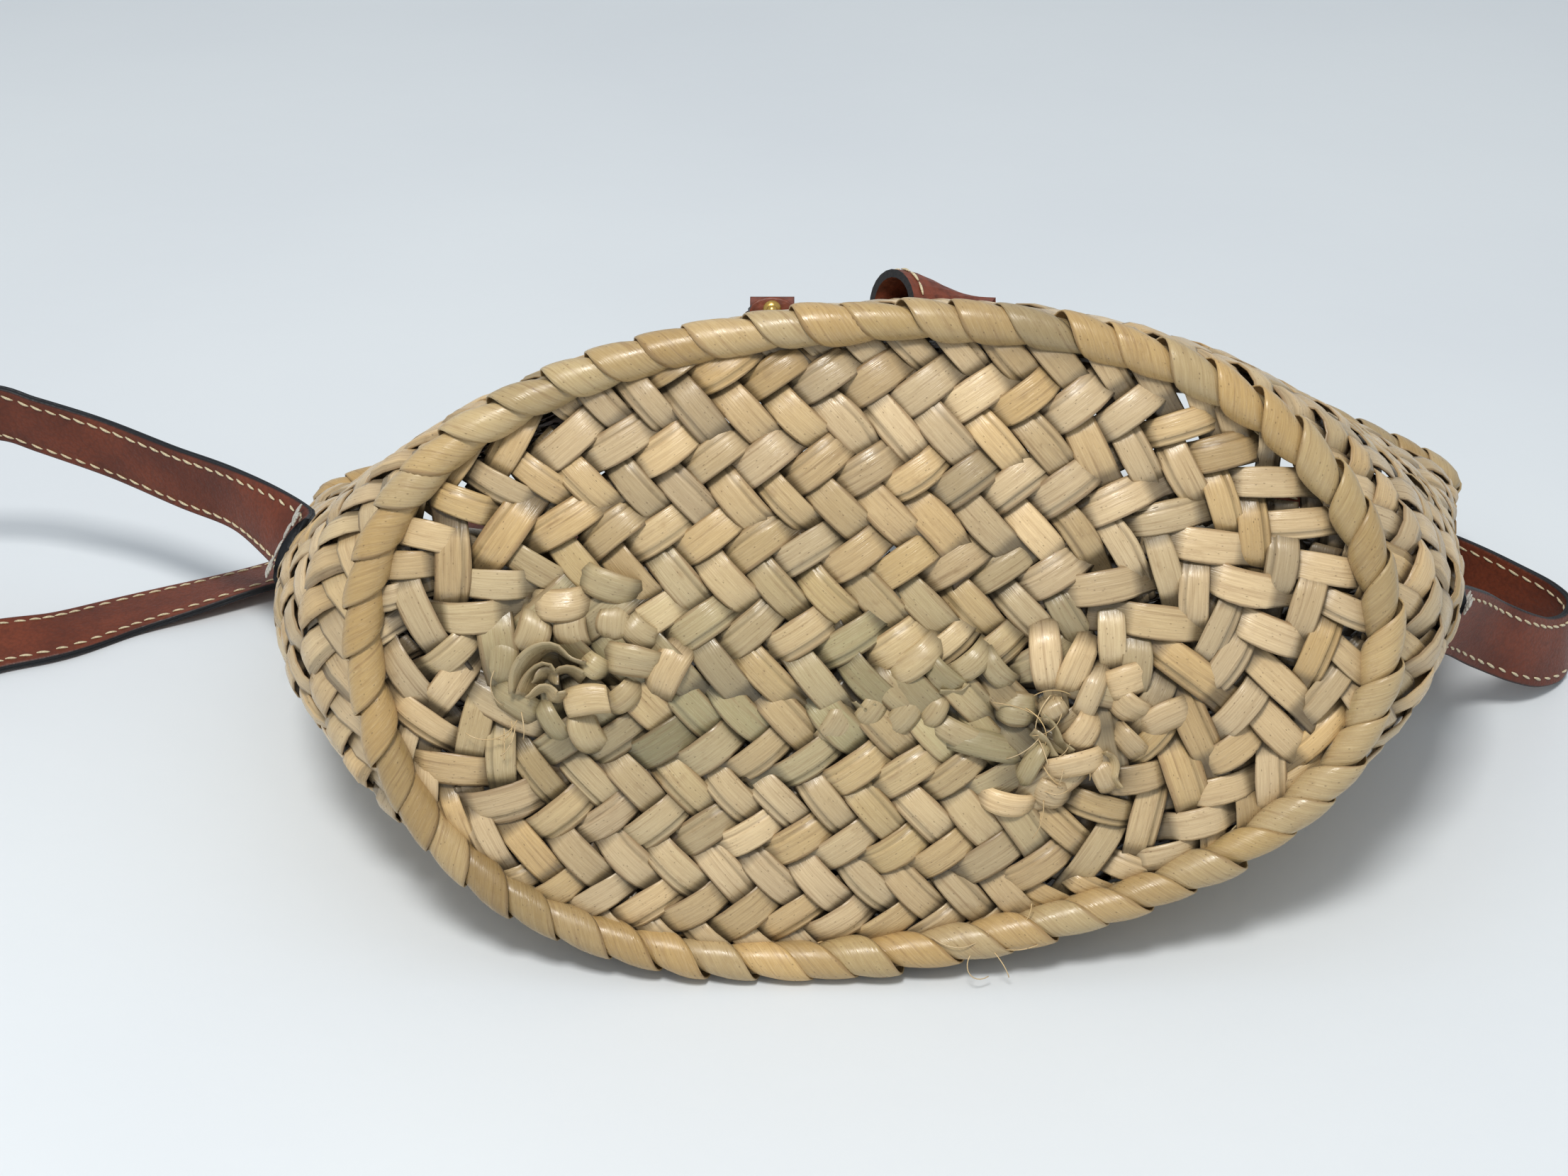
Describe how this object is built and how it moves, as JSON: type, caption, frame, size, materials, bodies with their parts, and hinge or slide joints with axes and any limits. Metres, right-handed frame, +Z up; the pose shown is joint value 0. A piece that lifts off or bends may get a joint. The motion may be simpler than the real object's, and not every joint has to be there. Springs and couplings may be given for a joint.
{
  "type": "straw basket bag",
  "caption": "Small oval basket bag of plaited palm leaf lying on its side, with wrapped rims, an open mouth, a stitched leather shoulder strap and small leather closure tabs.",
  "frame": {"origin": "middle of the bounding box's footprint, on the table the bag lies on", "axes": "+X across the bag along the long axis of its oval base, +Y from the base towards the open mouth, +Z up from the table"},
  "size_m": [0.5932, 0.2496, 0.1687],
  "materials": {
    "palm_leaf": "plaited dry palm leaf, satin, with dark gaps between the strips",
    "palm_wrap": "palm leaf wrapped slantwise round a roll, satin",
    "brown_leather": "chestnut leather with pebble grain, near-black painted edges and cream stitches",
    "brass": "polished brass"
  },
  "bodies": {
    "root": {"basket_wall": "palm_leaf", "base_panel": "palm_leaf", "base_rim": "palm_wrap", "mouth_rim": "palm_wrap", "base_knot_left": "palm_leaf", "base_knot_right": "palm_leaf", "shoulder_strap": "brown_leather", "closure_tab": "brown_leather", "tab_stud": "brass", "curled_tab": "brown_leather"}
  },
  "joints": []
}
